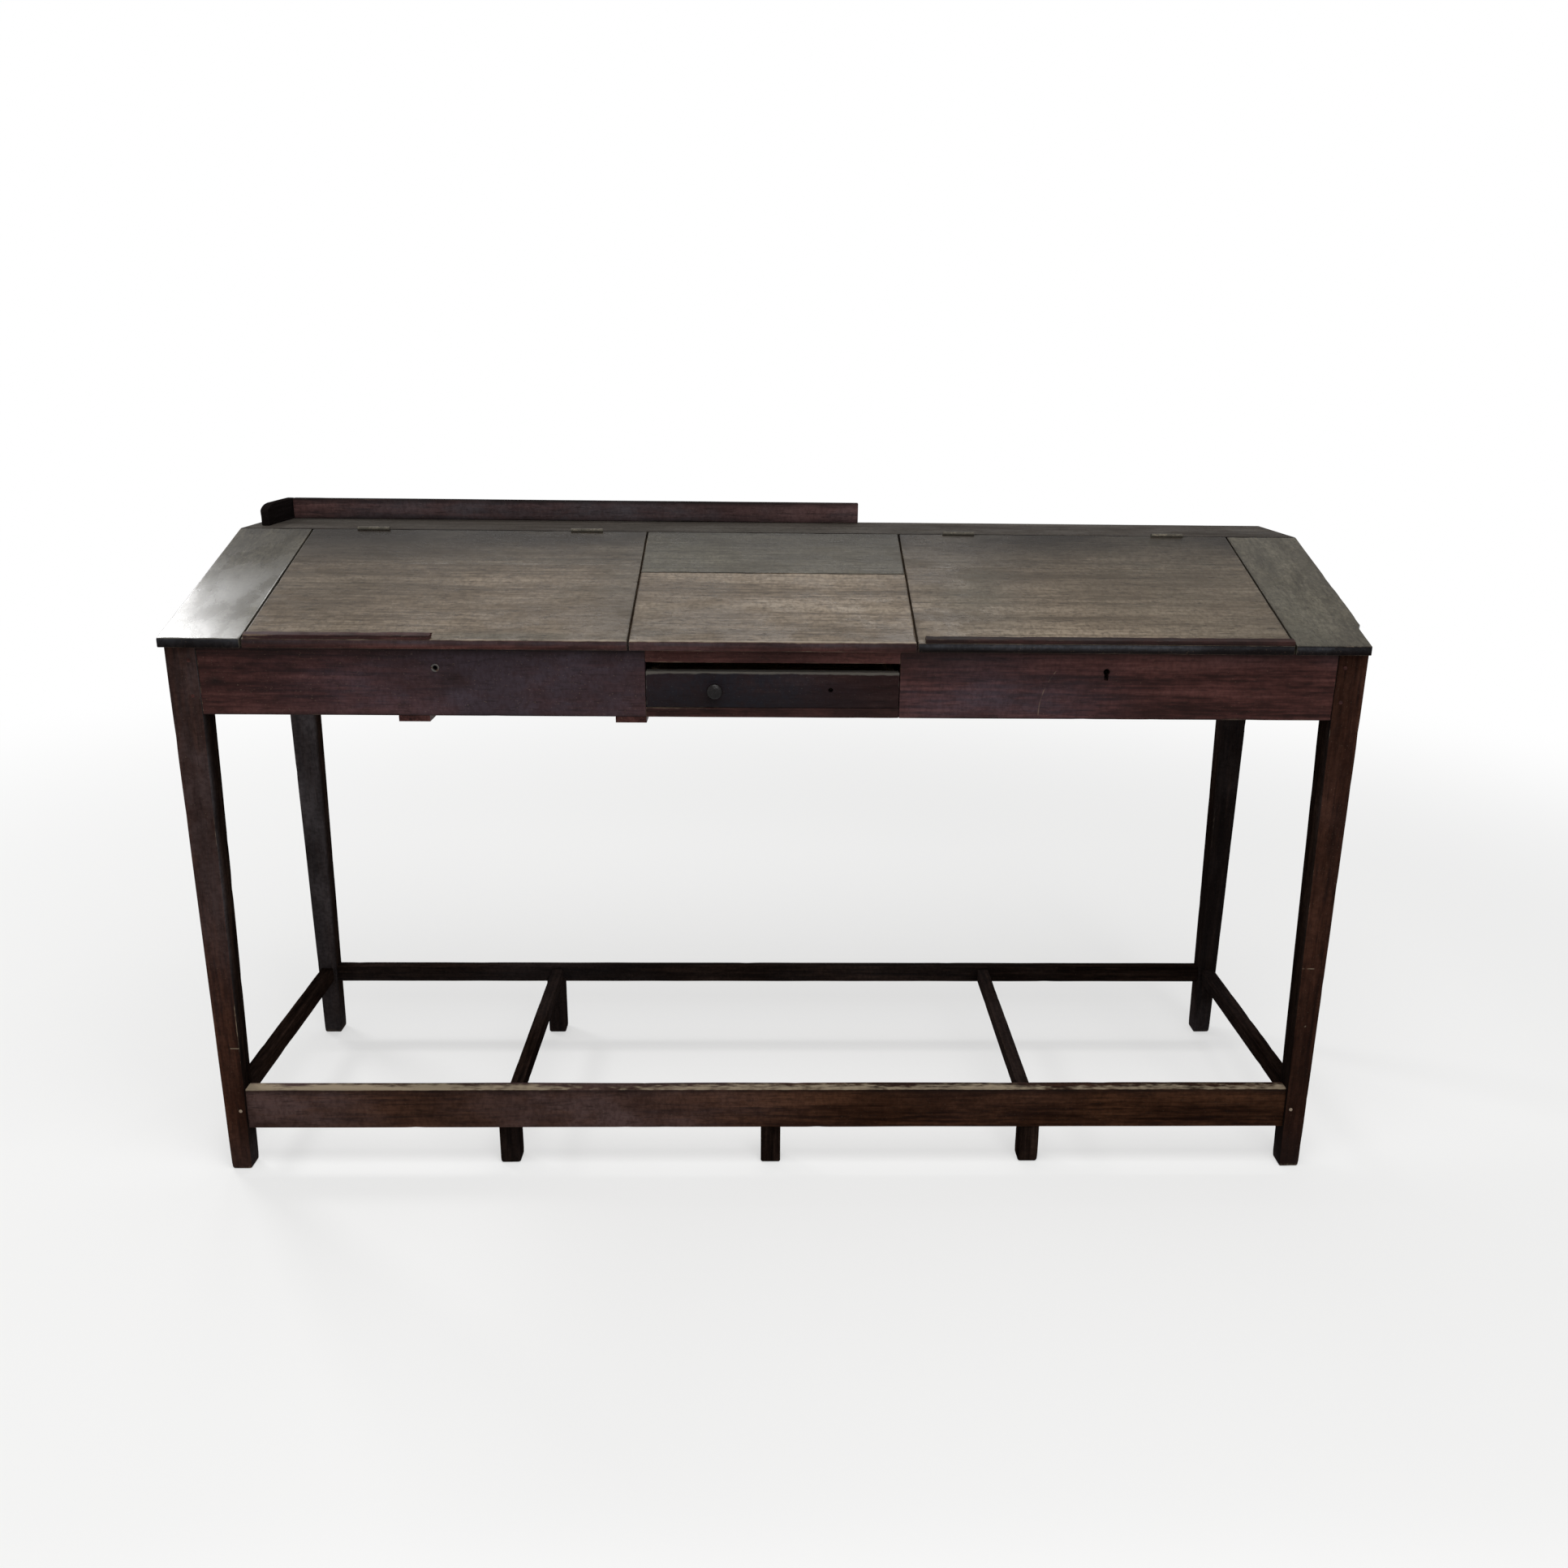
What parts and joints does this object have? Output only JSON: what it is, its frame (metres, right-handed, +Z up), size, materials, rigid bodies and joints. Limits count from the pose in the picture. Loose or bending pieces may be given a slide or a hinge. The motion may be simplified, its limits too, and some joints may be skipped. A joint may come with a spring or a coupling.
{
  "type": "clerk's standing desk",
  "caption": "Long sloping-topped standing desk on tapered legs, with hinged lids over compartments, a shallow drawer, a back shelf with a low gallery, and a foot rail.",
  "frame": {"origin": "on the floor under the middle of the sloping top and shelf", "axes": "+X along the desk to the clerk's right, +Y to the back, +Z up"},
  "size_m": [2.004, 0.6, 1.1772],
  "materials": {
    "polished_top": "dark stained boards, old varnish worn to a soft gloss",
    "stained_frame": "dark reddish brown stain under thin old varnish, scuffed",
    "bare_inner": "bare planed wood, dusty",
    "knob_wood": "turned, dark polish",
    "peg_wood": "end grain, stained",
    "old_brass": "tarnished",
    "lock_iron": "dark, lightly rusted"
  },
  "bodies": {
    "desk_frame": {"left_end_board": "polished_top", "right_end_board": "polished_top", "centre_panel_lower": "polished_top", "centre_panel_upper": "polished_top", "back_shelf": "polished_top", "gallery_back": "polished_top", "gallery_wing": "polished_top", "front_left_leg": "stained_frame", "front_right_leg": "stained_frame", "back_left_leg": "stained_frame", "back_right_leg": "stained_frame", "front_foot_rail": "stained_frame", "back_foot_rail": "stained_frame", "left_side_stretcher": "stained_frame", "right_side_stretcher": "stained_frame", "left_cross_stretcher": "stained_frame", "right_cross_stretcher": "stained_frame", "front_left_short_foot": "stained_frame", "front_middle_short_foot": "stained_frame", "front_right_short_foot": "stained_frame", "back_short_foot": "stained_frame", "left_front_apron": "stained_frame", "right_front_apron": "stained_frame", "drawer_top_rail": "stained_frame", "drawer_bottom_rail": "stained_frame", "left_side_panel": "stained_frame", "right_side_panel": "stained_frame", "back_panel": "stained_frame", "left_partition": "bare_inner", "right_partition": "bare_inner", "floor_boards": "bare_inner", "floor_bearers": "bare_inner", "drawer_runners": "bare_inner", "shelf_rails": "bare_inner", "lid_rafters": "bare_inner", "shelf_hinge_leaves": "old_brass", "hinge_pins": "old_brass", "shelf_hinge_screws": "old_brass", "lock_cases": "lock_iron", "joint_pegs": "peg_wood"},
    "left_lid": {"left_lid": "polished_top", "left_lid_cleats": "bare_inner", "left_book_ledge": "polished_top", "left_lid_hinge_leaves": "old_brass", "left_lid_hinge_screws": "old_brass", "left_lock_staple": "lock_iron"},
    "left_bolt": {"left_lock_bolt": "lock_iron"},
    "right_lid": {"right_lid": "polished_top", "right_lid_cleats": "bare_inner", "right_book_ledge": "polished_top", "right_lid_hinge_leaves": "old_brass", "right_lid_hinge_screws": "old_brass", "right_lock_staple": "lock_iron"},
    "right_bolt": {"right_lock_bolt": "lock_iron"},
    "drawer": {"drawer_front": "stained_frame", "drawer_left_side": "bare_inner", "drawer_right_side": "bare_inner", "drawer_back": "bare_inner", "drawer_bottom": "bare_inner", "drawer_knob": "knob_wood"}
  },
  "joints": [
    {"name": "left_lid_hinge", "type": "hinge", "parent": "desk_frame", "child": "left_lid", "pos_m": [-0.5525, 0.098, 1.13817], "axis": [-1, 0, 0], "range_deg": [0, 180]},
    {"name": "right_lid_hinge", "type": "hinge", "parent": "desk_frame", "child": "right_lid", "pos_m": [0.5525, 0.098, 1.13817], "axis": [-1, 0, 0], "range_deg": [0, 180]},
    {"name": "drawer_slide", "type": "slide", "parent": "desk_frame", "child": "drawer", "axis": [0, -1, 0], "range_m": [0, 0.3]},
    {"name": "left_bolt_slide", "type": "slide", "parent": "desk_frame", "child": "left_bolt", "axis": [1, 0, 0], "range_m": [0, 0.012]},
    {"name": "right_bolt_slide", "type": "slide", "parent": "desk_frame", "child": "right_bolt", "axis": [1, 0, 0], "range_m": [0, 0.012]}
  ]
}
